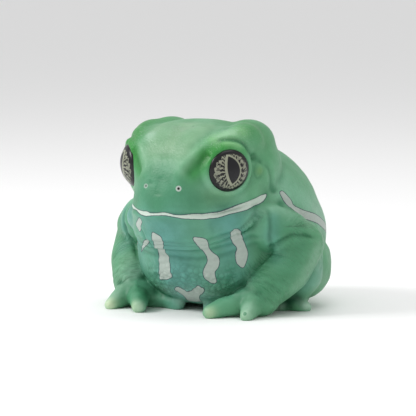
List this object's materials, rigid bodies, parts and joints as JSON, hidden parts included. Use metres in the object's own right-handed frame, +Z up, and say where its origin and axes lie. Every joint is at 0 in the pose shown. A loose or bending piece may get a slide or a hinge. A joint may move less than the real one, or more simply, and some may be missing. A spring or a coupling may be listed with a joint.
{
  "type": "waxy monkey tree frog figure",
  "caption": "Palm-size painted figure of a sitting waxy monkey tree frog with a wide blunt head, large eyes, round belly and spread fingers.",
  "frame": {"origin": "middle of the small flat under the belly, on the floor", "axes": "+Z up, the frog faces -Y, and +X is its left side"},
  "size_m": [0.1172, 0.1214, 0.0954],
  "materials": {
    "head_skin": "satin",
    "trunk_skin": "satin",
    "limb_skin": "satin",
    "eye": "semi-gloss"
  },
  "bodies": {
    "root": {"head": "head_skin", "trunk": "trunk_skin", "eye_left": "eye", "eye_right": "eye", "upper_arm_left": "limb_skin", "upper_arm_right": "limb_skin", "forearm_left": "limb_skin", "forearm_right": "limb_skin", "hand_left": "limb_skin", "hand_right": "limb_skin", "thigh_left": "limb_skin", "thigh_right": "limb_skin", "shank_left": "limb_skin", "shank_right": "limb_skin", "foot_left": "limb_skin", "foot_right": "limb_skin"}
  },
  "joints": []
}
